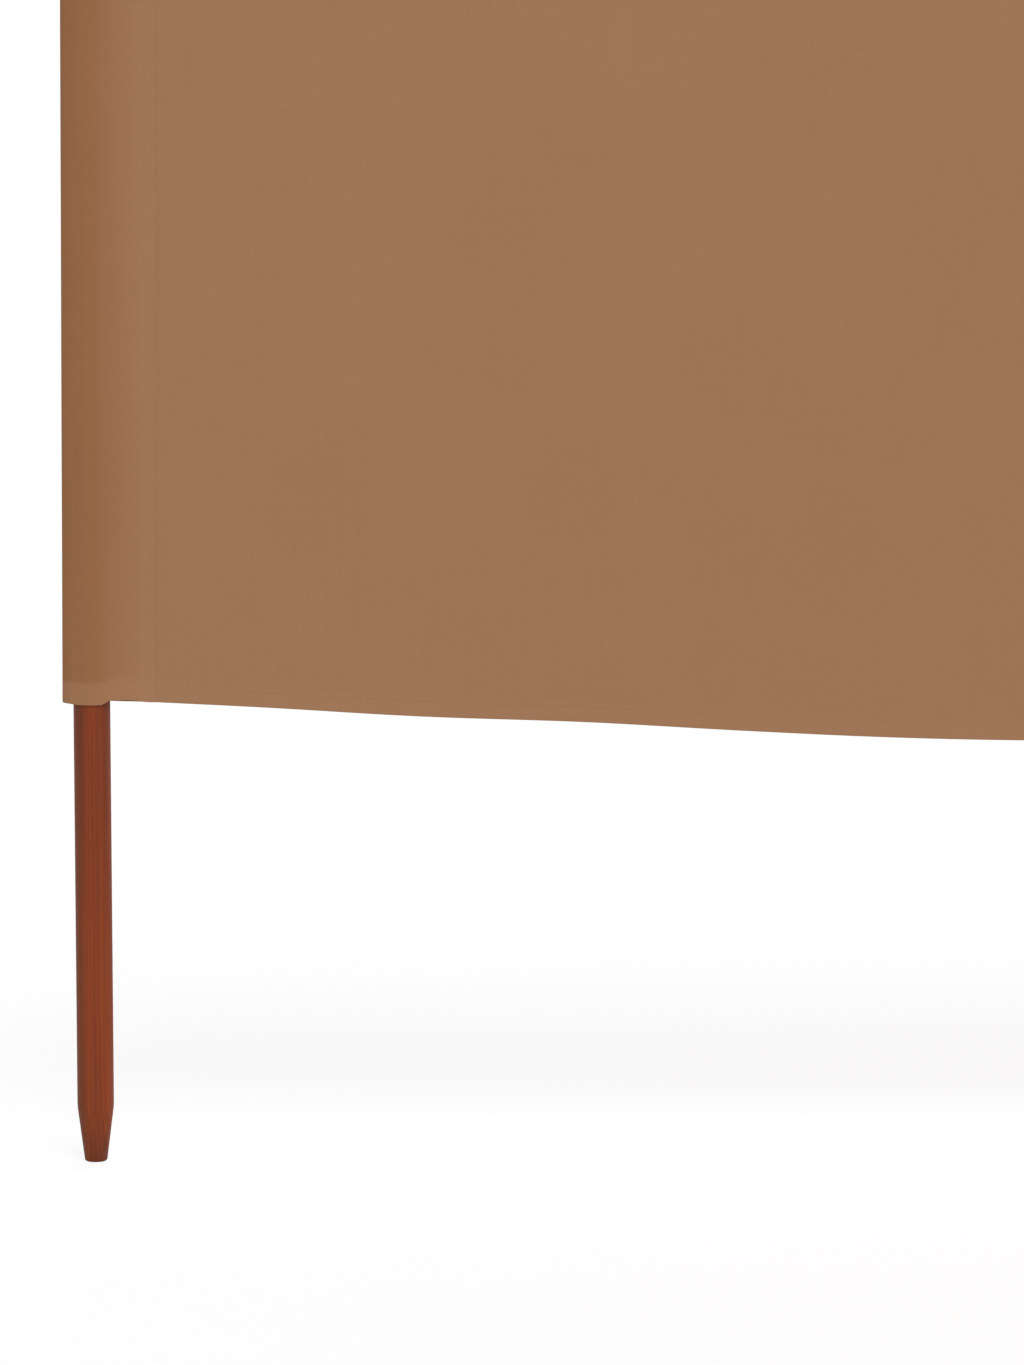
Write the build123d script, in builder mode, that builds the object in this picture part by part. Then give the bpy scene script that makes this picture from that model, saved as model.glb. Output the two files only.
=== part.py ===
from build123d import *
from math import radians, tan
import os

# Beach windbreak: bays of cloth hung between wooden poles whose points are pushed into the sand.
# X runs along the row, the front faces -Y and Z is up.
# The origin is the middle of the flat end of the first pole's point. Sizes are in millimetres and degrees.

# The row
bay_count = 4
bay_pitch = 1500.0

# Poles, turned round, with a flat-ended tapered point
pole_diameter = 28.0
pole_length = 1200.0
point_length = 43.0
point_end_diameter = 17.0
point_end_round = 1.5
pole_top_round = 4.0

# Cloth, turned over to the back along its upper and lower edges, with the poles standing up above it
cloth_thickness = 0.5
cloth_height = 805.0
pole_rise = 40.0
hem_height = 12.5
hem_layers = 3

# Both edges of a panel slope down from the poles and bend round at mid-bay
sag_angle = 2.78
sag_radius = 4300.0

# Sleeves: cloth goes round a pole on both sides, and its layers are stitched together beside it
# At both ends the cloth is folded back, and the fold stands off the round of the cloth on the pole
pole_clearance = 0.3
stitched_width = 5.0
pocket_tip_radius = 0.2
fold_radius = 12.0
fold_stand = 5.0
end_seam_reach = 53.0
middle_seam_reach = 36.0

# Places worked out from the sizes above
pole_radius = pole_diameter / 2
pole_places = [bay_pitch * i for i in range(bay_count + 1)]
cloth_top = pole_length - pole_rise
cloth_bottom = cloth_top - cloth_height
hem_thickness = hem_layers * cloth_thickness
pocket_radius = pole_radius + pole_clearance + hem_thickness
panel_bottom = cloth_bottom + hem_height
panel_top = cloth_top - hem_height


def turned_pole():
    """A round pole with a pointed foot and an eased top."""
    with BuildPart() as pole:
        with BuildSketch(Plane.XZ) as half_outline:
            with BuildLine():
                Polyline(
                    (0, 0),
                    (point_end_diameter / 2, 0),
                    (pole_radius, point_length),
                    (pole_radius, pole_length),
                    (0, pole_length),
                    close=True,
                )
            make_face()
            outer_corners = half_outline.vertices().group_by(Axis.X)
            fillet(outer_corners[1], point_end_round)
            fillet(outer_corners[-1].sort_by(Axis.Y)[-1], pole_top_round)
        revolve(axis=Axis.Z)
    return pole.part


def hull_section(height, rounds):
    """Outline of cloth pulled tight over rounds, each an x and a radius."""
    with BuildSketch(Plane.XY.offset(height)) as section:
        for x, radius in rounds:
            with Locations((x, 0)):
                Circle(radius)
        make_hull()
    return section.sketch


def leaves_meet(seam_edge, inset):
    """The small round where the two leaves of a pocket meet beside a seam, this deep in the cloth."""
    run = seam_edge / (pocket_radius - cloth_thickness)
    return (seam_edge + (cloth_thickness - inset - pocket_tip_radius) * run, pocket_tip_radius)


def sleeve(rounds_at, seams):
    """A sleeve round a pole, flat at its seams, open at both mouths, where its hem is turned inwards."""
    with BuildPart() as pocket:
        extrude(hull_section(cloth_bottom, rounds_at(0)), amount=cloth_height)
        with BuildSketch(Plane.XY.offset(cloth_bottom)):
            with Locations([(seam, 0) for seam in seams]):
                Rectangle(stitched_width, 2 * cloth_thickness)
        extrude(amount=cloth_height)
        for inset, bottom, top in (
            (hem_thickness, cloth_bottom, cloth_top),
            (cloth_thickness, panel_bottom, panel_top),
        ):
            hollow = hull_section(bottom, rounds_at(inset))
            extrude(hollow, amount=top - bottom, mode=Mode.SUBTRACT)
    return pocket.part


def end_sleeve():
    """The end of the cloth, folded back round the first pole and stitched down."""
    fold_middle = pocket_radius + fold_stand - fold_radius

    def rounds_at(inset):
        return [
            (-fold_middle, fold_radius - inset),
            (0, pocket_radius - inset),
            leaves_meet(end_seam_reach - stitched_width, inset),
        ]

    return sleeve(rounds_at, [end_seam_reach - stitched_width / 2])


def middle_sleeve():
    """A strip stitched on behind the cloth on both sides of a pole between two bays."""
    seam = middle_seam_reach - stitched_width / 2

    def rounds_at(inset):
        x, radius = leaves_meet(middle_seam_reach - stitched_width, inset)
        return [(-x, radius), (0, pocket_radius - inset), (x, radius)]

    return sleeve(rounds_at, [-seam, seam])


def sagging_strip(start, end, bottom, top, thickness):
    """Cloth hung between two seams, its edges straight near them and bent round at mid-bay."""
    middle = (start + end) / 2
    drop = tan(radians(sag_angle)) * (end - start) / 2
    with BuildPart() as strip:
        with BuildSketch(Plane.XZ.offset(cloth_thickness / 2)) as outline:
            with BuildLine():
                Polyline(
                    (start, bottom),
                    (middle, bottom - drop),
                    (end, bottom),
                    (end, top),
                    (middle, top - drop),
                    (start, top),
                    close=True,
                )
            make_face()
            fillet(outline.vertices().group_by(Axis.X)[1], sag_radius)
        extrude(amount=-thickness)
    return strip.part


def save_at(place, shape, name):
    with BuildPart() as piece:
        with Locations((place, 0, 0)):
            add(shape)
    piece.part.label = name
    export_step(piece.part, f"parts/{name}.step")


os.makedirs("parts", exist_ok=True)

pole = turned_pole()
first_sleeve = end_sleeve()
last_sleeve = mirror(first_sleeve, about=Plane.YZ)
sleeves = [first_sleeve] + [middle_sleeve()] * (bay_count - 1) + [last_sleeve]
seam_reaches = [end_seam_reach] + [middle_seam_reach] * (bay_count - 1) + [end_seam_reach]

for i, place in enumerate(pole_places):
    save_at(place, pole, f"pole_{i + 1}")
    save_at(place, sleeves[i], f"sleeve_{i + 1}")

for i in range(bay_count):
    start = seam_reaches[i]
    end = bay_pitch - seam_reaches[i + 1]
    panel = sagging_strip(start, end, panel_bottom, panel_top, cloth_thickness)
    bottom_hem = sagging_strip(start, end, cloth_bottom, panel_bottom, hem_thickness)
    top_hem = sagging_strip(start, end, panel_top, cloth_top, hem_thickness)
    save_at(pole_places[i], panel, f"panel_{i + 1}")
    save_at(pole_places[i], bottom_hem, f"bottom_hem_{i + 1}")
    save_at(pole_places[i], top_hem, f"top_hem_{i + 1}")
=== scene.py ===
from math import cos, pi, radians, sin, tan

import bpy
import numpy as np
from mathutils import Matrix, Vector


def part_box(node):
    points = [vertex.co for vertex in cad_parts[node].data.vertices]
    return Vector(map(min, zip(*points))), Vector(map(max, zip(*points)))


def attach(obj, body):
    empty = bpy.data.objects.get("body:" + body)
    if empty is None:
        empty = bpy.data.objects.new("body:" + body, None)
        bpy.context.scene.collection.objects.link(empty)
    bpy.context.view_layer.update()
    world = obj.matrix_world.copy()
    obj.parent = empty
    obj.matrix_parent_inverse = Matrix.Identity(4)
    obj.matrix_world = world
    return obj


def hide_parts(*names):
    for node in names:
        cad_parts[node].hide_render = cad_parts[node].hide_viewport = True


# Beach windbreak: plain cloth hung in bays between stained wooden poles that stand in the ground.
# X runs along the row, the front faces -Y and Z is up. Sizes are in metres.

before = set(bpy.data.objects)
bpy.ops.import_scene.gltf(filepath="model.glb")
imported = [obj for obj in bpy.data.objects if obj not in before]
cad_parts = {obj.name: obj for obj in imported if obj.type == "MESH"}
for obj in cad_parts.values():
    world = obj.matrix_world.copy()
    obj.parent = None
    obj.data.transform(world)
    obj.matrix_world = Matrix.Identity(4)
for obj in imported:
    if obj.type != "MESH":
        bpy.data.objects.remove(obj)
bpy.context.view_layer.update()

MM = 0.001

# Edges that turn by more than this look sharp
POLE_EDGE, CLOTH_EDGE, THREAD_EDGE = radians(25), radians(40), radians(80)

# Camera, which stands where the photograph's did, a little above half height, and looks slightly down
CAMERA_PLACE = (0.3206, -3.0377, 0.6507)
CAMERA_PITCH = radians(5.28)
CAMERA_LENS = 105.49


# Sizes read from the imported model

def middle_x(node):
    low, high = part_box(node)
    return (low.x + high.x) / 2


POLE_COUNT = sum(name.startswith("pole_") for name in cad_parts)
BAY_COUNT = POLE_COUNT - 1
POLE_PLACES = [middle_x(f"pole_{i + 1}") for i in range(POLE_COUNT)]
POLE_LOW, POLE_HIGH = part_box("pole_1")
POLE_RADIUS = (POLE_HIGH.x - POLE_LOW.x) / 2
POLE_LENGTH = POLE_HIGH.z
SLEEVE_LOW, SLEEVE_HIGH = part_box("sleeve_1")
CLOTH_BOTTOM, CLOTH_TOP = SLEEVE_LOW.z, SLEEVE_HIGH.z

# Poles
POLE_SIDES = 56
POINT_LENGTH = 43 * MM
POINT_END_RADIUS = 8.5 * MM
POINT_END_ROUND = 1.5 * MM
POLE_TOP_ROUND = 4 * MM
SHOULDER_ROUND = 3 * MM

# Wood: where the heart of the tree lies beside each pole, and how far on the next pole is cut from it
HEART_TURNS = [radians(turn) for turn in (188, 35, 300, 120, 230)]
HEART_REACH = 24 * MM
NEXT_CUT = 2.3
RING_WIDTH = 3 * MM
RING_WANDER = 16 * MM
RING_CONTRAST = 0.09

# How much darker a pole's point, its end and its top are: the stain soaks deeper into their cut grain, and
# the point also has painted shade
POINT_SHADE_AND_STAIN, END_STAIN, TOP_STAIN = 0.25, 0.45, 0.5
POINT_SHADE_AND_STAIN_ENDS = (0.5 * POINT_LENGTH, 1.2 * POINT_LENGTH)

# The colour is also painted darker on the heart's side, as painted shade on that side of the pole, from this
# share of the radius
PAINTED_SHADE_SIDE = 0.25

# Cloth, whose hems have three layers. They stand higher beside a folded end's seam, and in the folded end
# they are level over a share of its front leaf from its fold
THICKNESS = 0.42 * MM
LAYER = 0.5 * MM
HEM_LAYERS = 3
HEM_HEIGHT = 13 * MM
HEM_AT_FOLD = 14.5 * MM
HEM_AT_SEAM = 19 * MM
HEM_RISE_WIDTH = 16 * MM
HEM_LEVEL_SHARE = 0.35
STITCH_SHARE = 0.88
SAG_ANGLE = radians(2.78)
SAG_RADIUS = 4.3

# Slow wave of the lower edge in the left part of each bay, which fades upwards
RIPPLE_DEPTH = 1.25 * MM
RIPPLE_ZERO = 0.516
RIPPLE_LENGTH = 0.39
RIPPLE_START, RIPPLE_STRETCH = 0.05, 0.5
RIPPLE_FADE = 0.15

# Each bay's belly, towards the back, how slack its cloth hangs, and the seed of its folds
DRAPES = ((-3 * MM, 0.7, 41), (5 * MM, 1.6, 52), (-4 * MM, 1.9, 63), (6 * MM, 1.7, 74))

# How fully the cloth comes free of its seams, its share of the belly at both edges, and how far its soft
# waves hang in swags
FREE_POWER = 0.9
BELLY_AT_EDGES = 0.6
SWAG_CURVE = 0.5

# Share of the folds that is left low in a bay, and the shares of its height between which they grow to full
LOW_FOLDS = 0.2
FOLDS_GROW = (0.42, 0.8)

# Folds that fan out from the top of a pole: each one's slope, its width as a slope, and its depth
FAN_FOLDS = ((0.35, 0.1, 3.6 * MM), (0.75, 0.16, 3.2 * MM), (1.3, 0.26, 2.4 * MM), (2.3, 0.45, 1.4 * MM))

# Each fold has at least this share of its slope and depth, and up to this range more, and turns out of
# the cloth one way or, less deep, the other
SLOPE_LEAST, SLOPE_RANGE = 0.85, 0.3
DEPTH_LEAST, DEPTH_RANGE = 0.6, 0.4
FOLD_WAYS = [-0.6, 1]

# Shares of a bay's width: where a fan's folds start to part, where it grows beside its pole, and where it
# dies away
FAN_START = 0.02
FAN_GROWS = (0.012, 0.08)
FAN_DIES = (0.2, 0.6)

# Depths of the cloth's unevenness, and how far its puckers reach from a seam
SOFT_DEPTH = 2.6 * MM
WRINKLE_DEPTH = 0.28 * MM
PUCKER_DEPTH = 0.4 * MM
PUCKER_REACH = 11 * MM
BAY_GATHER_DEPTH = 0.22 * MM
SLEEVE_GATHER_DEPTH = 0.14 * MM

# A leaf swells by this much at this distance from its seam, over this width
SWELL_DEPTH = 0.7 * MM
SWELL_REACH = 7 * MM
SWELL_WIDTH = 5 * MM

# Gathers stand along a hem's stitches over this width. Seams hold gathers and puckers over these widths
GATHER_WIDTH = 7 * MM
GATHERS_HELD = 8 * MM
PUCKERS_HELD = 4 * MM

# Shortest and longest waves: of the soft ones as shares of a bay's width and height, and of the others
# across their folds and along them
SOFT_WAVES = ((6 / 7, 18 / 7), (0.16, 0.45))
WRINKLE_WAVES = ((13 * MM, 30 * MM), (0.12, 0.4))
PUCKER_WAVES = ((9 * MM, 18 * MM), (1 / 3, 4 / 3))
BAY_GATHER_WAVES = ((9 * MM, 17 * MM), (0.5, 2.0))
SLEEVE_GATHER_WAVES = ((8 * MM, 14 * MM), (0.1, 0.4))

# Sleeves, just wide enough for the pole and a hem's three layers
POLE_CLEARANCE = 0.3 * MM
SNUG_RADIUS = POLE_RADIUS + POLE_CLEARANCE + HEM_LAYERS * LAYER - THICKNESS / 2
FOLD_ROUND = 12 * MM
FOLD_REACH_LOW = 22.2 * MM
FOLD_REACH_HIGH = 16.8 * MM
END_SEAM_LOW = 48.6 * MM
END_SEAM_LEAN = 0.0084
MIDDLE_SEAM = 34 * MM
FLAP_WIDTH = 7 * MM

# Lower rim of a folded end: how far it lifts beside its pole and dips in front of it, and how far up the
# leaf follows it
RIM_LIFT = 2.4 * MM
RIM_DIP = 1.0 * MM
RIM_FADE = 25 * MM

# From where to where beside the pole's middle the rim dips, rises, and comes back to level
RIM_DIPS = (-20 * MM, -6 * MM)
RIM_RISES = (8 * MM, 16 * MM)
RIM_LEVELS = (24 * MM, 48 * MM)

# A sleeve lies smooth at its seam, and its wrinkles grow over this width beside it
HELD_WIDTH = 6 * MM

# Shares of a hem's height between which the bulk of its inner layers ends
BULK_ENDS = (0.85, 1.35)

# Columns of the sheets: how near they stand at a bay's ends and in its middle, and how many a sleeve has
COLUMNS_NEAR, COLUMNS_FAR = 2.5 * MM, 5 * MM
COLUMNS_CHANGE = 60 * MM
FRONT_COLUMNS, BACK_COLUMNS = 40, 30
HALF_COLUMNS = 24
FLAP_COLUMNS = 4

# Points round a fold, round a pole from there, and round half a pole, and how often the bends are eased
FOLD_POINTS, POLE_POINTS, HALF_POINTS = 8, 22, 16
BEND_EASINGS = 3

# Seeds of the random draws, with the step from one bay or middle sleeve to the next
BAY_SEED, BAY_SEED_STEP = 40, 9
END_SEED = 300
MIDDLE_SEED, MIDDLE_SEED_STEP = 500, 10

# Painted shade of the pole in the cloth over and beside it, standing for the pole showing through the thin
# cloth and for the shade in the sleeve: how dark it is at these distances beside the pole's middle. The shade
# is narrower on a middle sleeve, and a hem's inner layers cover part of it
SHADE_PLACES = np.array([-60, -30, 5, 10, 14, 20, 25, 36, 41]) * MM
SHADE_LEVELS = [0.9, 1, 0.97, 0.8, 0.66, 0.5, 0.4, 0.18, 0]
MIDDLE_SHADE_SQUEEZE = 1.3
HEM_COVER = 0.6

# Threads of the cloth, and how far along the cloth each bay starts
WEAVE_PITCH = 1.6 * MM
SLUB_WIDTH, SLUB_LENGTH = 2.4 * MM, 200 * MM
BAY_SHIFT = 0.4

# Stitches, of thread that is pulled a little flat. Those of a seam lie this share of the way from it to
# the next column of the bay's cloth and of the flap
STITCH_STEP = 4 * MM
STITCH_LENGTH = 3 * MM
THREAD_RADIUS = 0.24 * MM
THREAD_FLATNESS = 0.8
SEAM_STITCH_SHARE, FLAP_STITCH_SHARE = 0.3, 0.4

# Stage: the even light on everything, and a floor that glows for the camera
AMBIENT = 0.55
FLOOR_PLACE = (3, 0, 0)
FLOOR_SIZE = 80
FLOOR_PAINT = 0.9
FLOOR_GLOW = 1.045
FLOOR_GLOW_SHARE = 0.75


# Small tools

def smooth_step(x, low, high):
    """0 up to low and 1 from high, with a smooth rise between them."""
    t = np.clip((x - low) / (high - low), 0, 1)
    return t * t * (3 - 2 * t)


def bump(x, middle, width):
    """1 at the middle, fading smoothly to 0 on both sides."""
    return np.exp(-(((x - middle) / width) ** 2))


def waves(x, y, seed, across, along, count=7):
    """Smooth uneven waves, mostly between -1 and 1, whose lengths lie in these ranges along x and y."""
    draw = np.random.default_rng(seed)
    total = np.zeros(np.broadcast(x, y).shape)
    for _ in range(count):
        pace_x = 2 * pi / (across[0] + (across[1] - across[0]) * draw.random())
        pace_y = 2 * pi / (along[0] + (along[1] - along[0]) * draw.random())
        total += np.sin(pace_x * x + draw.choice([-1, 1]) * pace_y * y + draw.random() * 2 * pi)
    # About twice the usual size of a sum of so many waves
    peak = 1.4 * count**0.5
    return total / peak


def distances_along(points):
    """Each point's distance from the first, measured along the line through them."""
    steps = np.linalg.norm(np.diff(points, axis=0), axis=1)
    return np.concatenate([[0], np.cumsum(steps)])


def select_only(thing):
    bpy.ops.object.select_all(action="DESELECT")
    thing.select_set(True)
    bpy.context.view_layer.objects.active = thing


def open_edit(thing):
    select_only(thing)
    bpy.ops.object.mode_set(mode="EDIT")
    bpy.ops.mesh.select_mode(type="VERT")


def close_edit():
    bpy.ops.object.mode_set(mode="OBJECT")


def select_near(thing, height):
    """In edit mode, selects the points within a millimetre of this height, and what they span."""
    bpy.ops.mesh.select_all(action="DESELECT")
    bpy.ops.object.mode_set(mode="OBJECT")
    for point in thing.data.vertices:
        point.select = abs(point.co.z - height) <= MM
    bpy.ops.object.mode_set(mode="EDIT")


def apply_modifiers(thing):
    select_only(thing)
    for modifier in list(thing.modifiers):
        bpy.ops.object.modifier_apply(modifier=modifier.name)


def shade_smooth(thing, angle):
    select_only(thing)
    bpy.ops.object.shade_smooth_by_angle(angle=angle)


def settle(thing):
    """Puts an object's place, turn and size into its mesh."""
    select_only(thing)
    bpy.ops.object.transform_apply(location=True, rotation=True, scale=True)


# Materials

def linear(hex_colour):
    """The linear colour of an sRGB one, opaque."""
    parts = [int(hex_colour[i : i + 2], 16) / 255 for i in (1, 3, 5)]
    curve = [c / 12.92 if c <= 0.04045 else ((c + 0.055) / 1.055) ** 2.4 for c in parts]
    return (*curve, 1)


def add_node(tree, kind, settings=None, **inputs):
    """A node with its settings, and with inputs that are values or the sockets linked to them.

    An input's key is its name with _ for each space, or _ and its number."""
    node = tree.nodes.new(kind)
    for key, value in (settings or {}).items():
        setattr(node, key, value)
    for key, value in inputs.items():
        socket = node.inputs[int(key[1:])] if key[1:].isdigit() else node.inputs[key.replace("_", " ")]
        if isinstance(value, bpy.types.NodeSocket):
            tree.links.new(value, socket)
        else:
            socket.default_value = value
    return node


def new_material(name):
    material = bpy.data.materials.new(name)
    material.use_nodes = True
    tree = material.node_tree
    tree.nodes.clear()
    out = tree.nodes.new("ShaderNodeOutputMaterial")
    return material, tree, out


def grain_scale(width, length):
    """The scale of a pattern in wood whose marks are this wide, and this long up the pole."""
    return (1 / width, 1 / width, 1 / length)


def year_rings(tree, place):
    """Late wood and early wood by turns, round the heart of the tree and wandering a little."""
    level = add_node(tree, "ShaderNodeVectorMath", {"operation": "MULTIPLY"}, _0=place, _1=(1, 1, 0))
    from_heart = add_node(tree, "ShaderNodeVectorMath", {"operation": "LENGTH"}, _0=level.outputs["Vector"])
    wander = add_node(tree, "ShaderNodeMapping", Vector=place, Scale=grain_scale(55 * MM, 900 * MM))
    wander = add_node(
        tree, "ShaderNodeTexNoise", Vector=wander.outputs[0], Scale=1.0, Detail=3.0, Roughness=0.6
    )
    reach = add_node(
        tree,
        "ShaderNodeMath",
        {"operation": "MULTIPLY_ADD"},
        _0=wander.outputs["Fac"],
        _1=RING_WANDER,
        _2=from_heart.outputs["Value"],
    )
    ring = add_node(tree, "ShaderNodeMath", {"operation": "PINGPONG"}, _0=reach.outputs[0], _1=RING_WIDTH / 2)
    return add_node(
        tree,
        "ShaderNodeMapRange",
        Value=ring.outputs[0],
        From_Min=0.0,
        From_Max=RING_WIDTH / 2,
        To_Min=-RING_CONTRAST,
        To_Max=RING_CONTRAST,
    ).outputs["Result"]


def stained_pine():
    """Turned pine rod, stained red-brown, with a nearly matt finish.

    It is cut beside the heart of the tree, and its year rings stand about 3 mm apart, as long streaks up
    its sides and arcs on its ends. The stain takes darker in their hard late wood. It soaks deeper into
    the cut grain of its point, end and top. The colour is also painted darker on the heart side of the rod,
    as painted shade on that side, and on its point, partly as painted shade. The finish gives a soft, wide,
    weak highlight."""
    material, tree, out = new_material("stained_pine")
    place = add_node(tree, "ShaderNodeAttribute", {"attribute_name": "grain_place"}).outputs["Vector"]
    broad = add_node(tree, "ShaderNodeMapping", Vector=place, Scale=grain_scale(13 * MM, 310 * MM))
    broad = add_node(
        tree,
        "ShaderNodeTexNoise",
        Vector=broad.outputs[0],
        Scale=1.0,
        Detail=3.0,
        Roughness=0.55,
        Distortion=0.3,
    ).outputs["Fac"]
    fine = add_node(tree, "ShaderNodeMapping", Vector=place, Scale=grain_scale(2 * MM, 110 * MM))
    fine = add_node(
        tree, "ShaderNodeTexNoise", Vector=fine.outputs[0], Scale=1.0, Detail=4.0, Roughness=0.6
    ).outputs["Fac"]
    stain = add_node(tree, "ShaderNodeMath", {"operation": "ADD"}, _0=broad, _1=year_rings(tree, place))
    tone = add_node(tree, "ShaderNodeValToRGB", Fac=stain.outputs[0])
    ramp = tone.color_ramp
    ramp.elements[0].position = 0.28
    ramp.elements[0].color = linear("#73371F")
    ramp.elements[1].position = 0.74
    ramp.elements[1].color = linear("#8F411D")
    middle = ramp.elements.new(0.5)
    middle.color = linear("#823A1F")
    streak = add_node(
        tree, "ShaderNodeMapRange", Value=fine, From_Min=0.3, From_Max=0.7, To_Min=0.9, To_Max=1.06
    )
    colour = add_node(
        tree,
        "ShaderNodeMix",
        {"data_type": "RGBA", "blend_type": "MULTIPLY"},
        _0=1.0,
        _6=tone.outputs["Color"],
        _7=streak.outputs["Result"],
    )
    # Painted shade on the heart side and partly on the point, with deeper stain in the cut grain
    colour = add_node(
        tree,
        "ShaderNodeMix",
        {"data_type": "RGBA", "blend_type": "MULTIPLY"},
        _0=add_node(tree, "ShaderNodeAttribute", {"attribute_name": "shade_and_stain"}).outputs["Fac"],
        _6=colour.outputs[2],
        _7=(0.7, 0.84, 0.93, 1),
    )
    relief = add_node(tree, "ShaderNodeBump", Strength=0.25, Distance=0.2 * MM, Height=fine)
    rough = add_node(
        tree, "ShaderNodeMapRange", Value=broad, From_Min=0.3, From_Max=0.7, To_Min=0.48, To_Max=0.58
    )
    shader = add_node(
        tree,
        "ShaderNodeBsdfPrincipled",
        Base_Color=colour.outputs[2],
        Roughness=rough.outputs["Result"],
        IOR=1.5,
        Specular_IOR_Level=0.14,
        Normal=relief.outputs["Normal"],
    )
    tree.links.new(shader.outputs[0], out.inputs["Surface"])
    return material


def plain_weave(tree, threads):
    """Threads that go over and under each other by turns, from -1 where they dip to 1 where they rise."""
    pace = 2 * pi / WEAVE_PITCH
    turns = add_node(tree, "ShaderNodeMapping", Vector=threads, Scale=(pace, pace, 1))
    turns = add_node(tree, "ShaderNodeSeparateXYZ", Vector=turns.outputs[0])
    warp = add_node(tree, "ShaderNodeMath", {"operation": "SINE"}, _0=turns.outputs["X"])
    weft = add_node(tree, "ShaderNodeMath", {"operation": "SINE"}, _0=turns.outputs["Y"])
    return add_node(
        tree, "ShaderNodeMath", {"operation": "MULTIPLY"}, _0=warp.outputs[0], _1=weft.outputs[0]
    ).outputs[0]


def thread_streaks(tree, threads):
    """The faint streaks both ways that single thicker threads give, as a factor near 1."""
    up = add_node(tree, "ShaderNodeMapping", Vector=threads, Scale=(1 / SLUB_WIDTH, 1 / SLUB_LENGTH, 1))
    up = add_node(tree, "ShaderNodeTexNoise", Vector=up.outputs[0], Scale=1.0, Detail=2.0)
    level = add_node(tree, "ShaderNodeMapping", Vector=threads, Scale=(1 / SLUB_LENGTH, 1 / SLUB_WIDTH, 1))
    level = add_node(tree, "ShaderNodeTexNoise", Vector=level.outputs[0], Scale=1.0, Detail=2.0)
    both = add_node(
        tree, "ShaderNodeMath", {"operation": "ADD"}, _0=up.outputs["Fac"], _1=level.outputs["Fac"]
    )
    return add_node(
        tree,
        "ShaderNodeMapRange",
        Value=both.outputs[0],
        From_Min=0.6,
        From_Max=1.4,
        To_Min=0.982,
        To_Max=1.018,
    ).outputs["Result"]


def woven_cloth():
    """Plain-woven polyester, dyed taupe brown, matt.

    Its threads stand about half a millimetre apart, which is too fine to show, so the weave is drawn
    1.6 mm to a pair of threads and faint. Single threads are a little thicker, which gives faint streaks
    both ways, and its dyed colour is faintly cloudy. Over and beside a pole the colour is painted darker and
    warmer, as painted shade for the pole showing through the thin cloth and for the shade in the sleeve. It
    is a little paler where a hem makes three layers."""
    material, tree, out = new_material("woven_cloth")
    threads = add_node(tree, "ShaderNodeUVMap", {"uv_map": "threads"}).outputs["UV"]
    painted_shade = add_node(tree, "ShaderNodeAttribute", {"attribute_name": "painted_shade"}).outputs["Fac"]
    in_hem = add_node(tree, "ShaderNodeAttribute", {"attribute_name": "in_hem"}).outputs["Fac"]
    weave = plain_weave(tree, threads)
    cloud = add_node(
        tree, "ShaderNodeTexNoise", Vector=threads, Scale=1 / (110 * MM), Detail=2.0, Roughness=0.6
    )
    cloud = add_node(
        tree,
        "ShaderNodeMapRange",
        Value=cloud.outputs["Fac"],
        From_Min=0.3,
        From_Max=0.7,
        To_Min=-0.014,
        To_Max=0.014,
    )
    shade = add_node(
        tree,
        "ShaderNodeMath",
        {"operation": "ADD"},
        _0=thread_streaks(tree, threads),
        _1=cloud.outputs["Result"],
    )
    for part, strength in ((in_hem, 0.025), (weave, 0.008)):
        shade = add_node(
            tree, "ShaderNodeMath", {"operation": "MULTIPLY_ADD"}, _0=part, _1=strength, _2=shade.outputs[0]
        )
    # The second colour is painted shade, for the cloth over and beside a pole
    dye_and_shade = add_node(
        tree, "ShaderNodeMix", {"data_type": "RGBA"}, _0=painted_shade, _6=linear("#A07757"), _7=linear("#956744")
    )
    colour = add_node(
        tree,
        "ShaderNodeMix",
        {"data_type": "RGBA", "blend_type": "MULTIPLY"},
        _0=1.0,
        _6=dye_and_shade.outputs[2],
        _7=shade.outputs[0],
    )
    relief = add_node(tree, "ShaderNodeBump", Strength=0.3, Distance=0.15 * MM, Height=weave)
    shader = add_node(
        tree,
        "ShaderNodeBsdfPrincipled",
        Base_Color=colour.outputs[2],
        Roughness=0.9,
        IOR=1.45,
        Specular_IOR_Level=0.2,
        Normal=relief.outputs["Normal"],
    )
    tree.links.new(shader.outputs[0], out.inputs["Surface"])
    return material


def sewing_thread():
    """Spun polyester thread in the cloth's colour, lighter and darker with its twist, a little shinier."""
    material, tree, out = new_material("sewing_thread")
    place = add_node(tree, "ShaderNodeTexCoord").outputs["Object"]
    twist = add_node(tree, "ShaderNodeTexNoise", Vector=place, Scale=1 / (0.4 * MM), Detail=1.0)
    colour = add_node(
        tree,
        "ShaderNodeMix",
        {"data_type": "RGBA"},
        _0=twist.outputs["Fac"],
        _6=linear("#9A7253"),
        _7=linear("#A57C5B"),
    )
    shader = add_node(tree, "ShaderNodeBsdfPrincipled", Base_Color=colour.outputs[2], Roughness=0.6, IOR=1.5)
    tree.links.new(shader.outputs[0], out.inputs["Surface"])
    return material


# Poles

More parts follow.
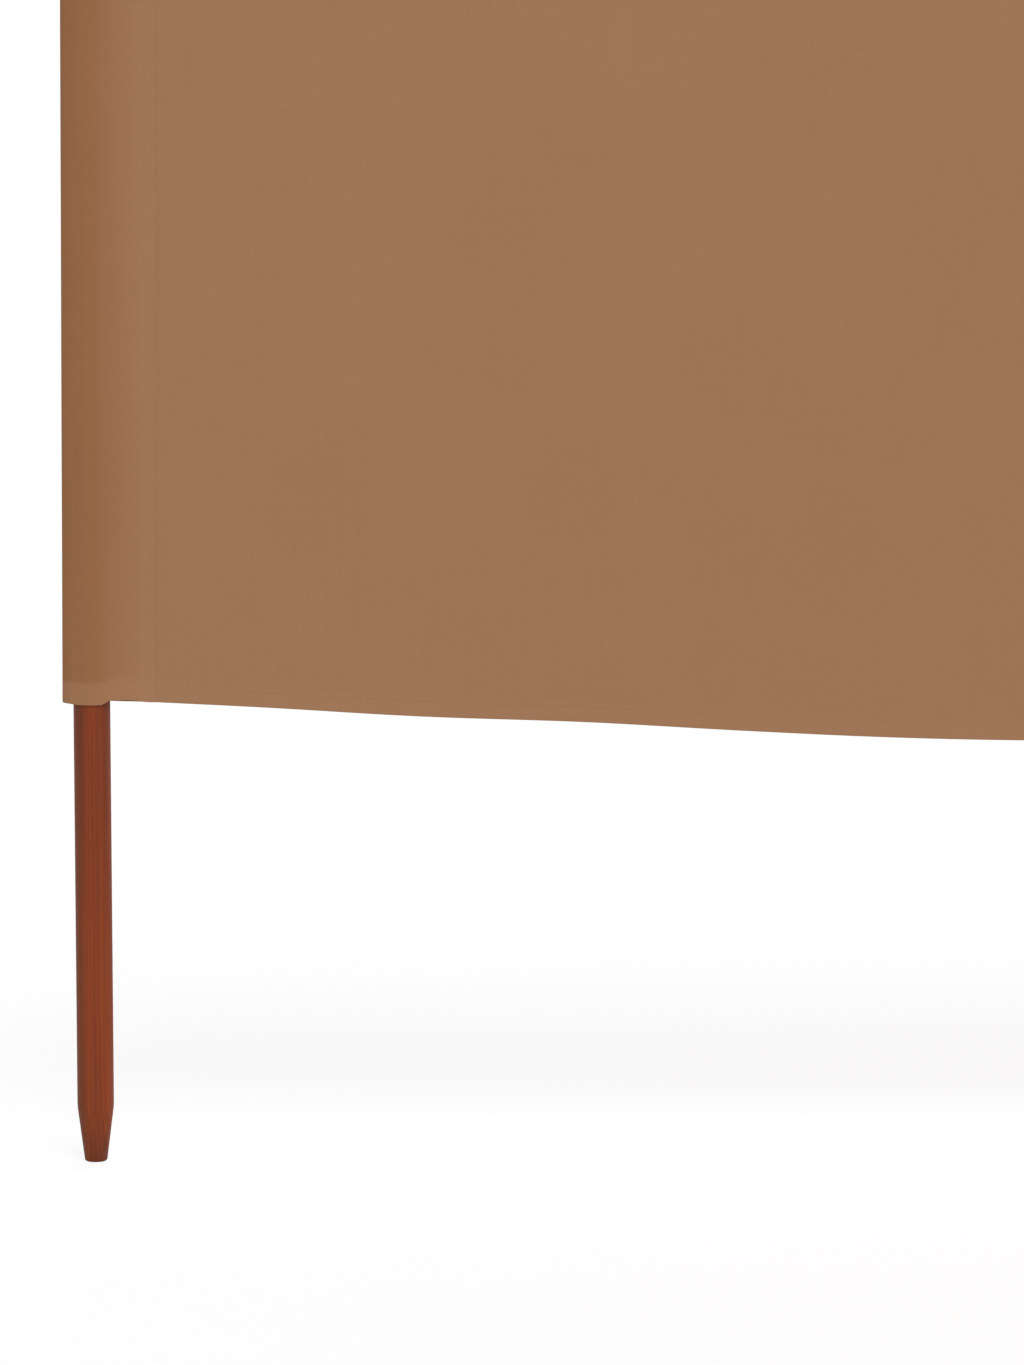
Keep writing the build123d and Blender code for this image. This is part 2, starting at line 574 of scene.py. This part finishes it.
def turned_pole():
    """A round pole with an eased top and a tapered point, its shoulder turned a little round."""
    bpy.ops.object.select_all(action="DESELECT")
    bpy.ops.mesh.primitive_cylinder_add(
        vertices=POLE_SIDES, radius=POLE_RADIUS, depth=POLE_LENGTH, location=(0, 0, POLE_LENGTH / 2)
    )
    pole = bpy.context.object
    settle(pole)
    open_edit(pole)
    bpy.ops.mesh.select_all(action="SELECT")
    bpy.ops.mesh.bisect(plane_co=(0, 0, POINT_LENGTH), plane_no=(0, 0, 1))
    select_near(pole, 0)
    taper = POINT_END_RADIUS / POLE_RADIUS
    bpy.ops.transform.resize(value=(taper, taper, 1), center_override=(0, 0, 0))
    for height, width, segments in (
        (0, POINT_END_ROUND, 4),
        (POLE_LENGTH, POLE_TOP_ROUND, 6),
        (POINT_LENGTH, SHOULDER_ROUND, 3),
    ):
        select_near(pole, height)
        bpy.ops.mesh.bevel(offset=width, segments=segments, profile=0.5, affect="EDGES")
    bpy.ops.mesh.select_all(action="SELECT")
    bpy.ops.mesh.normals_make_consistent(inside=False)
    close_edit()
    shade_smooth(pole, POLE_EDGE)
    return pole


def shade_and_stain_depth(places, heart_turn):
    """How much darker a pole is made: painted shade on its heart side, painted shade and deeper stain on its
    point, and deeper stain in the cut grain of its end and top.
    """
    height = places[:, 2]
    to_heart = (places[:, 0] * cos(heart_turn) + places[:, 1] * sin(heart_turn)) / POLE_RADIUS
    depth = smooth_step(to_heart, PAINTED_SHADE_SIDE, 1)
    depth += POINT_SHADE_AND_STAIN * (1 - smooth_step(height, *POINT_SHADE_AND_STAIN_ENDS))
    depth += END_STAIN * (height < POINT_END_ROUND)
    depth += TOP_STAIN * (height > POLE_LENGTH - POLE_TOP_ROUND)
    return np.clip(depth, 0, 1)


def pole_copy(pole, number):
    """The pole again at its own place in the row, cut from its own stretch of wood."""
    piece = bpy.data.objects.new(f"turned_pole_{number + 1}", pole.data.copy())
    bpy.context.scene.collection.objects.link(piece)
    mesh = piece.data
    places = np.empty(len(mesh.vertices) * 3)
    mesh.vertices.foreach_get("co", places)
    places = places.reshape(-1, 3)
    turn = HEART_TURNS[number % len(HEART_TURNS)]
    heart = (HEART_REACH * cos(turn), HEART_REACH * sin(turn), -NEXT_CUT * number)
    # The pole's painted shade and deeper stain
    deep = mesh.attributes.new("shade_and_stain", "FLOAT", "POINT")
    deep.data.foreach_set("value", shade_and_stain_depth(places, turn))
    grain = mesh.attributes.new("grain_place", "FLOAT_VECTOR", "POINT")
    grain.data.foreach_set("vector", (places - heart).ravel())
    mesh.vertices.foreach_set("co", (places + (POLE_PLACES[number], 0, 0)).ravel())
    return piece


# Rows of the cloth, alike in every sheet

def hem_rows():
    """A hem's rows, from its turned-in raw edge up, down its back and up its front to its stitches.

    Each is its share of the hem's height and the layer that it lies in, from 0 at the front."""
    turned_in = [(0.12, 1), (0.5, 1), (0.9, 1), (1.0, 1.5)]
    back = [(STITCH_SHARE, 2), (0.7, 2), (0.4, 2), (0.06, 2), (0.012, 1.8)]
    front = [(0.0, 1.0), (0.012, 0.2), (0.06, 0), (0.3, 0), (0.55, 0), (0.75, 0), (STITCH_SHARE, 0)]
    return turned_in + back + front


def cloth_rows():
    """Rows from the turned-in raw edge of the lower hem to that of the upper one.

    Each is its share of the lower hem, of the cloth between the hems and of the upper hem, and its layer."""
    body = [0, 0.005, 0.013, 0.026] + list(np.linspace(0.045, 0.955, 40)) + [0.974, 0.987, 0.995, 1]
    rows = [(share, 0, 0, layer) for share, layer in hem_rows()]
    rows += [(1, share, 0, 0) for share in body]
    rows += [(1, 1, 1 - share, layer) for share, layer in reversed(hem_rows())]
    return np.array(rows, float)


ROWS = cloth_rows()
LAYERS = ROWS[:, 3]
IN_HEMS = ((ROWS[:, 1:2] <= 0) | (ROWS[:, 1:2] >= 1)).astype(float)
MIDDLE_ROW = len(ROWS) // 2
OUTER_ROWS = np.flatnonzero(LAYERS == 0)
HEM_ROW = int(np.flatnonzero((ROWS[:, 0] == STITCH_SHARE) & (LAYERS == 0))[0])
TURNED_ROW = int(np.flatnonzero((ROWS[:, 0] == STITCH_SHARE) & (LAYERS == 2))[0])


def row_heights(hem):
    """The height of every row (down) in every column (across), for hems this high in each column."""
    lower, body, upper = ROWS[:, 0:1], ROWS[:, 1:2], ROWS[:, 2:3]
    between = CLOTH_TOP - CLOTH_BOTTOM - 2 * hem[None, :]
    return CLOTH_BOTTOM + lower * hem[None, :] + body * between + upper * hem[None, :]


def hem_gather(z, hem):
    """1 along the hems' stitches, where the cloth is drawn together, fading away from them."""
    stitches = hem * STITCH_SHARE
    return bump(z - CLOTH_BOTTOM, stitches, GATHER_WIDTH) + bump(CLOTH_TOP - z, stitches, GATHER_WIDTH)


def make_sheet(name, grid, along, up, painted_shade=0.0):
    """A closed thin sheet from a grid of points, whose threads are this far along and up the cloth."""
    rows, columns = grid.shape[:2]
    corner = np.arange(rows * columns).reshape(rows, columns)
    quads = np.stack([corner[:-1, :-1], corner[:-1, 1:], corner[1:, 1:], corner[1:, :-1]], axis=-1)
    mesh = bpy.data.meshes.new(name)
    mesh.from_pydata(grid.reshape(-1, 3).tolist(), [], quads.reshape(-1, 4).tolist())
    threads = np.empty((rows, columns, 2))
    threads[:, :, 0] = along
    threads[:, :, 1] = up
    corners = np.empty(len(mesh.loops), int)
    mesh.loops.foreach_get("vertex_index", corners)
    uv = mesh.uv_layers.new(name="threads")
    uv.data.foreach_set("uv", threads.reshape(-1, 2)[corners].ravel())
    # The first attribute holds the pole's painted shade in the cloth, and the second marks the hems
    for key, values in (("painted_shade", painted_shade), ("in_hem", IN_HEMS)):
        attribute = mesh.attributes.new(key, "FLOAT", "POINT")
        attribute.data.foreach_set("value", np.broadcast_to(values, (rows, columns)).ravel())
    sheet = bpy.data.objects.new(name, mesh)
    bpy.context.scene.collection.objects.link(sheet)
    solid = sheet.modifiers.new("thickness", "SOLIDIFY")
    solid.thickness = THICKNESS
    solid.offset = 0
    apply_modifiers(sheet)
    shade_smooth(sheet, CLOTH_EDGE)
    return sheet


# Seams, as distances beside the middle of their pole

def end_seam(height):
    """The seam of a folded end, which leans a little away from its pole further up."""
    return END_SEAM_LOW + END_SEAM_LEAN * (height - CLOTH_BOTTOM)


def middle_seam(height):
    """The seams of a middle sleeve, at the same distance all the way up."""
    return MIDDLE_SEAM + 0 * height


def seams_of(bay):
    """The seams at the left and right ends of a bay."""
    left = end_seam if bay == 0 else middle_seam
    right = end_seam if bay == BAY_COUNT - 1 else middle_seam
    return left, right


# Bays

def bay_columns(length):
    """Places from 0 to length, near each other at both ends and further apart in the middle."""
    places = [0.0]
    while places[-1] < length:
        from_end = min(places[-1], length - places[-1])
        share = min(from_end / COLUMNS_CHANGE, 1)
        places.append(places[-1] + COLUMNS_NEAR + (COLUMNS_FAR - COLUMNS_NEAR) * share)
    return np.array(places) * length / places[-1]


def sag(from_middle, half):
    """How far the cloth has dropped below its height at the seams: straight, then round at mid-bay."""
    reach = np.abs(from_middle)
    middle_drop = tan(SAG_ANGLE) * half - SAG_RADIUS * (1 / cos(SAG_ANGLE) - 1)
    round_part = middle_drop - SAG_RADIUS + np.sqrt(SAG_RADIUS**2 - np.minimum(reach, half) ** 2)
    straight_part = tan(SAG_ANGLE) * (half - reach)
    return np.where(reach < SAG_RADIUS * sin(SAG_ANGLE), round_part, straight_part)


def ripple(x, above):
    """How much further down the slow wave of the lower edge brings the cloth, less and less upwards."""
    wave = np.sin(2 * pi * (x - RIPPLE_ZERO) / RIPPLE_LENGTH)
    ends = np.sin(pi * np.clip((x - RIPPLE_START) / RIPPLE_STRETCH, 0, 1)) ** 2
    return RIPPLE_DEPTH * wave * ends * np.exp(-above / RIPPLE_FADE)


def bay_face(x, z, start, end, bay):
    """How far the hanging cloth stands behind the seams' plane at x and z.

    It bellies a little as a whole, waves softly, mostly in its upper half, and has shallow folds that
    fan out from the top of each pole, from which the bay hangs."""
    belly, slack, seed = DRAPES[bay % len(DRAPES)]
    u = (x - start) / (end - start)
    v = (z - CLOTH_BOTTOM) / (CLOTH_TOP - CLOTH_BOTTOM)
    free = np.sin(pi * np.clip(u, 0, 1)) ** FREE_POWER
    folded = slack * (LOW_FOLDS + (1 - LOW_FOLDS) * smooth_step(v, *FOLDS_GROW))
    swag = v + SWAG_CURVE * (u - 0.5) ** 2
    face = free * belly * (BELLY_AT_EDGES + (1 - BELLY_AT_EDGES) * np.sin(pi * v))
    face += SOFT_DEPTH * folded * free * waves(u, swag, seed + 1, *SOFT_WAVES)
    draw = np.random.default_rng(seed)
    for reach in (u, 1 - u):
        fall = (1 - v) / np.maximum(reach, FAN_START)
        fan = smooth_step(reach, *FAN_GROWS) * (1 - smooth_step(reach, *FAN_DIES))
        for slope, width, depth in FAN_FOLDS:
            slope *= SLOPE_LEAST + SLOPE_RANGE * draw.random()
            depth *= draw.choice(FOLD_WAYS) * (DEPTH_LEAST + DEPTH_RANGE * draw.random())
            face += depth * folded * bump(fall, slope, width) * fan
    return face


def bay_sheet(bay):
    """A bay's cloth from seam to seam, gathered along its hems and puckered beside its seams."""
    left, right = seams_of(bay)
    pitch = POLE_PLACES[bay + 1] - POLE_PLACES[bay]
    start, end = left(CLOTH_BOTTOM), pitch - right(CLOTH_BOTTOM)
    along = bay_columns(end - start)
    width = along[-1]
    to_seam = np.minimum(along, width - along)
    hem = np.full(len(along), HEM_HEIGHT)
    for seam, from_seam in ((left, along), (right, width - along)):
        if seam is end_seam:
            hem += (HEM_AT_SEAM - HEM_HEIGHT) * bump(from_seam, 0, HEM_RISE_WIDTH)
    z = row_heights(hem)
    up = z - CLOTH_BOTTOM
    x = left(z) + (pitch - right(z) - left(z)) * along / width
    seed = BAY_SEED + BAY_SEED_STEP * bay
    gathers = hem_gather(z, hem) * smooth_step(to_seam, 0, GATHERS_HELD)
    gathers = gathers * waves(along, up, seed + 3, *BAY_GATHER_WAVES)
    puckers = np.exp(-to_seam / PUCKER_REACH) * smooth_step(to_seam, 0, PUCKERS_HELD)
    puckers = puckers * waves(up, along, seed + 4, *PUCKER_WAVES)
    y = bay_face(x, z, start, end, bay) + BAY_GATHER_DEPTH * gathers + PUCKER_DEPTH * puckers
    y += LAYERS[:, None] * LAYER
    drop = sag(start + along - (start + end) / 2, (end - start) / 2) + ripple(x, up)
    grid = np.stack([POLE_PLACES[bay] + x, y, z - drop], axis=-1)
    sheet = make_sheet(f"bay_cloth_{bay + 1}", grid, along + BAY_SHIFT * bay, up)
    return sheet, grid, width


# Sleeves

def front_arc(radius, start, end, count):
    """Points on a circle, between two angles measured from its frontmost point towards +X."""
    turn = np.linspace(start, end, count)
    return radius * np.stack([np.sin(turn), -np.cos(turn)], axis=-1)


def end_outline(height):
    """The plan of one leaf of a folded end: round its fold, to the pole, round it and on to the seam."""
    share = (height - CLOTH_BOTTOM) / (CLOTH_TOP - CLOTH_BOTTOM)
    fold_middle = FOLD_REACH_LOW + (FOLD_REACH_HIGH - FOLD_REACH_LOW) * share - FOLD_ROUND
    seam_reach = end_seam(height)
    fold_turn = np.arcsin((SNUG_RADIUS - FOLD_ROUND) / fold_middle)
    seam_turn = np.arcsin(SNUG_RADIUS / seam_reach)
    fold = front_arc(FOLD_ROUND, -pi / 2, -fold_turn, FOLD_POINTS) - (fold_middle, 0)
    pole = front_arc(SNUG_RADIUS, -fold_turn, seam_turn, POLE_POINTS)
    return np.concatenate([fold, pole, [(seam_reach, 0)]])


def middle_outline(height):
    """The plan of half a leaf of a middle sleeve, from the front of the pole to the seam beside it."""
    seam_reach = middle_seam(height)
    pole = front_arc(SNUG_RADIUS, 0, np.arcsin(SNUG_RADIUS / seam_reach), HALF_POINTS)
    return np.concatenate([pole, [(seam_reach, 0)]])


def evenly(outline, count):
    """Points the same distance apart along an outline, its bends eased, and each one's distance along it."""
    reach = distances_along(outline)
    along = np.linspace(0, reach[-1], count)
    points = np.stack([np.interp(along, reach, outline[:, k]) for k in range(2)], axis=-1)
    for _ in range(BEND_EASINGS):
        points[1:-1] = points[1:-1] * 0.5 + (points[:-2] + points[2:]) * 0.25
    return points, along


def sleeve_leaf(heights, outline_at, columns):
    """The outer face of a leaf, row by row, and its distances along, without wrinkles."""
    face = np.empty((*heights.shape, 3))
    along = np.empty(heights.shape)
    for row, height in enumerate(heights[:, 0]):
        points, distance = evenly(outline_at(height), columns)
        face[row, :, :2] = points
        along[row] = distance
    face[:, :, 2] = heights
    return face, along


def seam_swell(to_seam):
    """How far a leaf swells forwards just before its seam."""
    return SWELL_DEPTH * bump(to_seam, SWELL_REACH, SWELL_WIDTH)


def seam_bulk(leaf, hem, seam):
    """How much further out a leaf at the back lies towards its seam, for the layers in front of it."""
    z = leaf[:, :, 2]
    share = np.minimum(z - CLOTH_BOTTOM, CLOTH_TOP - z) / hem
    turned = (HEM_LAYERS - 1) * LAYER * (1 - smooth_step(share, *BULK_ENDS))
    return (LAYER + 2 * turned) * smooth_step(leaf[:, :, 0], POLE_RADIUS, seam(z))


def with_flap(leaf):
    """A leaf that goes on past its seam as a flap."""
    steps = np.linspace(0, FLAP_WIDTH, FLAP_COLUMNS + 1)[1:]
    flap = leaf[:, -1:] + steps[None, :, None] * np.array([1, 0, 0])
    return np.concatenate([leaf, flap], axis=1)


def inwards(face):
    """Level directions across a face, to the left of the way its points run, so towards the pole."""
    run = np.gradient(face, axis=1)
    turned = np.stack([-run[:, :, 1], run[:, :, 0], 0 * run[:, :, 0]], axis=-1)
    return turned / np.maximum(np.linalg.norm(turned, axis=2, keepdims=True), 1e-12)


def turn_in_hems(face):
    """Moves the hems' inner layers in from the outer face, each by its layer."""
    return face + inwards(face) * LAYERS[:, None, None] * LAYER


def pole_shade(from_pole):
    """How much painted shade the pole puts on the cloth over and beside it at this distance from its middle,
    less in the hems.
    """
    return np.interp(from_pole, SHADE_PLACES, SHADE_LEVELS) * (1 - HEM_COVER * IN_HEMS)


def sleeve_sheet(name, number, grid, around, painted_shade):
    """The sheet of a leaf or of both leaves at its pole, with its points and its width."""
    grid = grid + np.array([POLE_PLACES[number - 1], 0, 0])
    sheet = make_sheet(f"{name}_{number}", grid, around, grid[:, :, 2] - CLOTH_BOTTOM, painted_shade)
    return sheet, grid, around[-1]


def end_front(seed):
    """The front leaf of a folded end, whose lower rim dips in front of the pole and lifts beside it."""
    hem_change = smooth_step(np.linspace(0, 1, FRONT_COLUMNS), HEM_LEVEL_SHARE, 1)
    hem = HEM_AT_FOLD + (HEM_AT_SEAM - HEM_AT_FOLD) * hem_change
    z = row_heights(hem)
    leaf, along = sleeve_leaf(z, end_outline, FRONT_COLUMNS)
    to_seam = along[:, -1:] - along
    wrinkles = WRINKLE_DEPTH * waves(along, z, seed, *WRINKLE_WAVES)
    gathers = SLEEVE_GATHER_DEPTH * hem_gather(z, hem) * waves(along, z, seed + 2, *SLEEVE_GATHER_WAVES)
    leaf[:, :, 1] -= seam_swell(to_seam) + smooth_step(to_seam, 0, HELD_WIDTH) * (wrinkles + gathers)
    from_pole = leaf[:, :, 0]
    past_pole = smooth_step(from_pole, *RIM_RISES)
    lift = RIM_LIFT * past_pole * (1 - smooth_step(from_pole, *RIM_LEVELS))
    dip = RIM_DIP * (1 - past_pole) * smooth_step(from_pole, *RIM_DIPS)
    leaf[:, :, 2] += (lift - dip) * np.exp(-(z - CLOTH_BOTTOM) / RIM_FADE)
    return leaf


def end_back(seed):
    """The back leaf of a folded end, which mirrors the front one and has a flap past the seam."""
    z = row_heights(np.full(BACK_COLUMNS, HEM_AT_FOLD))
    leaf, along = sleeve_leaf(z, end_outline, BACK_COLUMNS)
    to_seam = along[:, -1:] - along
    wrinkles = WRINKLE_DEPTH * waves(along, z, seed, *WRINKLE_WAVES)
    leaf[:, :, 1] *= -1
    leaf[:, :, 1] += seam_bulk(leaf, HEM_AT_FOLD, end_seam) + smooth_step(to_seam, 0, HELD_WIDTH) * wrinkles
    return with_flap(leaf)


def end_sleeve_sheet(number, mirrored):
    """The end of the cloth: from its seam round the front of the pole, round the fold and back to a flap."""
    seed = END_SEED + number
    grid = np.concatenate([end_back(seed + 1)[:, ::-1], end_front(seed)[:, 1:]], axis=1)
    around = distances_along(grid[MIDDLE_ROW, :, :2])
    grid = turn_in_hems(grid)
    painted_shade = pole_shade(grid[:, :, 0])
    if mirrored:
        grid = grid[:, ::-1] * np.array([-1, 1, 1])
        painted_shade = painted_shade[:, ::-1]
        around = around[-1] - around[::-1]
    return sleeve_sheet("sleeve_cloth", number, grid, around, painted_shade)


def middle_sleeve_sheet(name, number, side):
    """One leaf of a middle sleeve: side 1 is the cloth in front of the pole, and -1 the strip behind it."""
    flap = FLAP_WIDTH if side < 0 else 0
    z = row_heights(np.full(HALF_COLUMNS, HEM_HEIGHT))
    half, along = sleeve_leaf(z, middle_outline, HALF_COLUMNS)
    half[:, :, 1] -= seam_swell(along[:, -1:] - along)
    if side < 0:
        half[:, :, 1] -= seam_bulk(half, HEM_HEIGHT, middle_seam)
        half = with_flap(half)
    other = half[:, :0:-1] * np.array([-1, 1, 1])
    grid = np.concatenate([other, half], axis=1)
    around = distances_along(grid[MIDDLE_ROW, :, :2])
    loose = smooth_step(np.minimum(around, around[-1] - around), flap, flap + HELD_WIDTH)
    seed = MIDDLE_SEED + MIDDLE_SEED_STEP * number + side
    grid[:, :, 1] -= WRINKLE_DEPTH * loose * waves(around, grid[:, :, 2], seed, *WRINKLE_WAVES)
    if side < 0:
        grid = grid[:, ::-1] * np.array([1, -1, 1])
    grid = turn_in_hems(grid)
    painted_shade = pole_shade(np.abs(grid[:, :, 0]) * MIDDLE_SHADE_SQUEEZE)
    return sleeve_sheet(name, number, grid, around, painted_shade)


def sleeve_sheets(number):
    """The sheets of a sleeve: one that is folded round an end pole, or a middle sleeve's two leaves."""
    if number in (1, POLE_COUNT):
        return [end_sleeve_sheet(number, mirrored=number != 1)]
    leaves = (("sleeve_cloth", 1), ("sleeve_strip", -1))
    return [middle_sleeve_sheet(name, number, side) for name, side in leaves]


# Stitches

FRONT, BACK = np.array([0, -1, 0]), np.array([0, 1, 0])


def stitch_bead():
    """One stitch along X: a short length of thread whose ends dip into the cloth."""
    bpy.ops.object.select_all(action="DESELECT")
    bpy.ops.mesh.primitive_uv_sphere_add(segments=6, ring_count=4, radius=1, rotation=(0, pi / 2, 0))
    bead = bpy.context.object
    settle(bead)
    bead.scale = (STITCH_LENGTH / 2, THREAD_RADIUS, THREAD_FLATNESS * THREAD_RADIUS)
    settle(bead)
    points = np.array([point.co for point in bead.data.vertices])
    faces = [list(face.vertices) for face in bead.data.polygons]
    bpy.data.objects.remove(bead)
    return points, faces


def stitch_places(line, outward):
    """Where stitches lie along a line of points in the cloth: their middles and three directions each."""
    reach = distances_along(line)
    count = max(int(reach[-1] / STITCH_STEP), 1)
    middles = (np.arange(count) + 0.5) * reach[-1] / count

    def at(distance, values):
        return np.stack([np.interp(distance, reach, values[:, k]) for k in range(3)], axis=-1)

    run = at(middles + STITCH_LENGTH / 2, line) - at(middles - STITCH_LENGTH / 2, line)
    run /= np.linalg.norm(run, axis=1, keepdims=True)
    out = at(middles, outward)
    out -= run * (out * run).sum(axis=1, keepdims=True)
    out /= np.linalg.norm(out, axis=1, keepdims=True)
    return at(middles, line) + out * THICKNESS / 2, run, np.cross(out, run), out


def stitched(name, bead, lines):
    """A piece of every stitch along some lines, which are each points in the cloth and ways out of it."""
    bead_points, bead_faces = bead
    parts = []
    for line, outward in lines:
        middles, *directions = stitch_places(line, np.broadcast_to(outward, line.shape))
        part = middles[:, None]
        for k, direction in enumerate(directions):
            part = part + direction[:, None] * bead_points[:, k, None]
        parts.append(part)
    points = np.concatenate(parts)
    count = len(bead_points)
    faces = [[corner + count * k for corner in face] for k in range(len(points)) for face in bead_faces]
    mesh = bpy.data.meshes.new(name)
    mesh.from_pydata(points.reshape(-1, 3).tolist(), [], faces)
    piece = bpy.data.objects.new(name, mesh)
    bpy.context.scene.collection.objects.link(piece)
    shade_smooth(piece, THREAD_EDGE)
    return piece


def hem_lines(grid):
    """The stitches that hold a bay's hems, on its front and on its back."""
    rows = ((HEM_ROW, FRONT), (TURNED_ROW, BACK), (-1 - HEM_ROW, FRONT), (-1 - TURNED_ROW, BACK))
    return [(grid[row], way_out) for row, way_out in rows]


def round_lines(grid):
    """The stitches that hold a sleeve's hems, round its outside."""
    outward = -inwards(grid)
    return [(grid[row], outward[row]) for row in (HEM_ROW, -1 - HEM_ROW)]


def seam_lines(bay_edge, bay_next, flap_edge, flap_next):
    """The stitches that close a sleeve, on the cloth's front beside it and on the flap behind."""
    front = bay_edge + SEAM_STITCH_SHARE * (bay_next - bay_edge)
    back = flap_edge + FLAP_STITCH_SHARE * (flap_next - flap_edge)
    return [(front[OUTER_ROWS], FRONT), (back[OUTER_ROWS], BACK)]


# Stage

def add_camera():
    data = bpy.data.cameras.new("camera")
    data.lens = CAMERA_LENS
    camera = bpy.data.objects.new("camera", data)
    camera.location = CAMERA_PLACE
    camera.rotation_euler = (pi / 2 - CAMERA_PITCH, 0, 0)
    bpy.context.scene.collection.objects.link(camera)
    bpy.context.scene.camera = camera


def add_world():
    """White to the camera and in reflections, and an even soft light on everything."""
    world = bpy.data.worlds.new("studio")
    bpy.context.scene.world = world
    world.use_nodes = True
    tree = world.node_tree
    tree.nodes.clear()
    path = add_node(tree, "ShaderNodeLightPath").outputs
    seen = path["Is Camera Ray"]
    for ray in ("Is Glossy Ray", "Is Transmission Ray"):
        seen = add_node(tree, "ShaderNodeMath", {"operation": "MAXIMUM"}, _0=seen, _1=path[ray]).outputs[0]
    strength = add_node(tree, "ShaderNodeMapRange", Value=seen, To_Min=AMBIENT, To_Max=1.0)
    light = add_node(tree, "ShaderNodeBackground", Color=(1, 1, 1, 1), Strength=strength.outputs["Result"])
    out = tree.nodes.new("ShaderNodeOutputWorld")
    tree.links.new(light.outputs[0], out.inputs["Surface"])


def add_sun(name, strength, softness, from_right, height):
    """A soft lamp: from_right and height are the angles it stands at, seen from the front."""
    data = bpy.data.lights.new(name, "SUN")
    data.energy = strength
    data.angle = radians(softness)
    lamp = bpy.data.objects.new(name, data)
    lamp.rotation_euler = (radians(90 - height), 0, radians(from_right))
    bpy.context.scene.collection.objects.link(lamp)


def add_floor():
    """Pale floor, white to the camera where nothing shades it."""
    bpy.ops.object.select_all(action="DESELECT")
    bpy.ops.mesh.primitive_plane_add(size=FLOOR_SIZE, location=FLOOR_PLACE)
    floor = bpy.context.object
    floor.name = "floor"
    material, tree, out = new_material("pale_floor")
    path = add_node(tree, "ShaderNodeLightPath")
    white = add_node(tree, "ShaderNodeEmission", Color=(1, 1, 1, 1), Strength=FLOOR_GLOW)
    paint = add_node(tree, "ShaderNodeBsdfDiffuse", Color=(FLOOR_PAINT, FLOOR_PAINT, FLOOR_PAINT, 1))
    share = add_node(
        tree, "ShaderNodeMapRange", Value=path.outputs["Is Camera Ray"], To_Min=0.0, To_Max=FLOOR_GLOW_SHARE
    )
    mix = add_node(
        tree, "ShaderNodeMixShader", _0=share.outputs["Result"], _1=paint.outputs[0], _2=white.outputs[0]
    )
    tree.links.new(mix.outputs[0], out.inputs["Surface"])
    floor.data.materials.append(material)


# Putting it together

def hand_over(piece, material, slot, *nodes):
    """Gives a piece its material and hides the nodes of the model it replaces. Its slot is not used."""
    piece.data.materials.clear()
    piece.data.materials.append(material)
    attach(piece, "root")
    if nodes:
        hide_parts(*nodes)


bpy.context.scene.view_settings.view_transform = "Standard"
add_camera()
add_world()
add_sun("key", strength=1.33, softness=35, from_right=22, height=52)
add_sun("fill", strength=0.85, softness=60, from_right=160, height=40)
add_floor()

pine = stained_pine()
cloth = woven_cloth()
thread = sewing_thread()

model = turned_pole()
for i in range(POLE_COUNT):
    hand_over(pole_copy(model, i), pine, "stained_pine", f"pole_{i + 1}")
bpy.data.objects.remove(model)

bead = stitch_bead()
bay_grids = []
for bay in range(BAY_COUNT):
    sheet, grid, width = bay_sheet(bay)
    bay_grids.append(grid)
    n = bay + 1
    hand_over(sheet, cloth, "woven_cloth", f"panel_{n}", f"top_hem_{n}", f"bottom_hem_{n}")
    hand_over(stitched(f"hem_stitches_{n}", bead, hem_lines(grid)), thread, "woven_cloth")

for number in range(1, POLE_COUNT + 1):
    lines = []
    for k, (sheet, grid, width) in enumerate(sleeve_sheets(number)):
        hand_over(sheet, cloth, "woven_cloth", *([f"sleeve_{number}"] if k == 0 else []))
        lines += round_lines(grid)
    # The last sheet of a sleeve has its flaps, which are stitched to the bays beside them
    if number < POLE_COUNT:
        after = bay_grids[number - 1]
        lines += seam_lines(after[:, 0], after[:, 1], grid[:, FLAP_COLUMNS], grid[:, FLAP_COLUMNS - 1])
    if number > 1:
        before = bay_grids[number - 2]
        lines += seam_lines(before[:, -1], before[:, -2], grid[:, -1 - FLAP_COLUMNS], grid[:, -FLAP_COLUMNS])
    hand_over(stitched(f"sleeve_stitches_{number}", bead, lines), thread, "woven_cloth")
